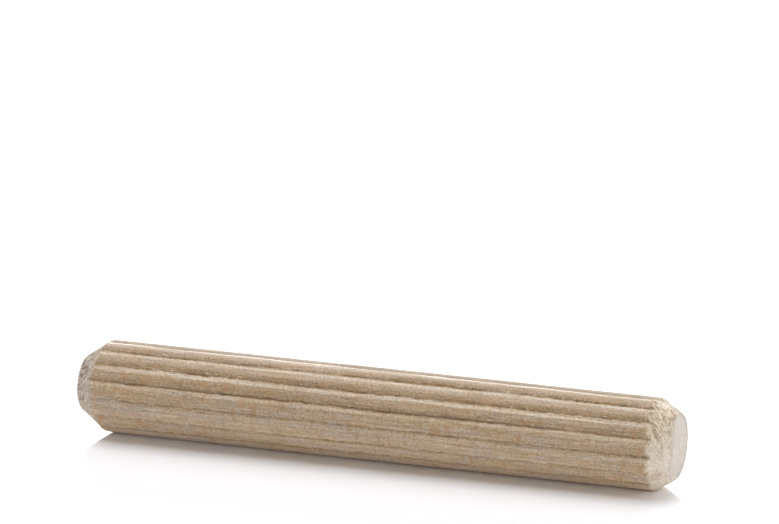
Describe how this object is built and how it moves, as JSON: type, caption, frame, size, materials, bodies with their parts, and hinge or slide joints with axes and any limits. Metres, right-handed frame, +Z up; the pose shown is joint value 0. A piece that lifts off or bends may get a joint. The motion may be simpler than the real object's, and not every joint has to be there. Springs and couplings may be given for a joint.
{
  "type": "fluted dowel pin",
  "caption": "Straight hardwood joint pin with lengthwise ribs for glue and a chamfer at each end, lying on its side.",
  "frame": {"origin": "on the surface that the pin lies on, under the middle of its length", "axes": "+X along the pin, from the deeply chamfered end to the lightly chamfered end, and +Z up"},
  "size_m": [0.04, 0.006, 0.0059],
  "materials": {
    "wood": "bare dry hardwood, machined, with fine lengthwise grain, small ray flecks and torn fibres at the chamfers"
  },
  "bodies": {
    "root": {"dowel_pin": "wood"}
  },
  "joints": []
}
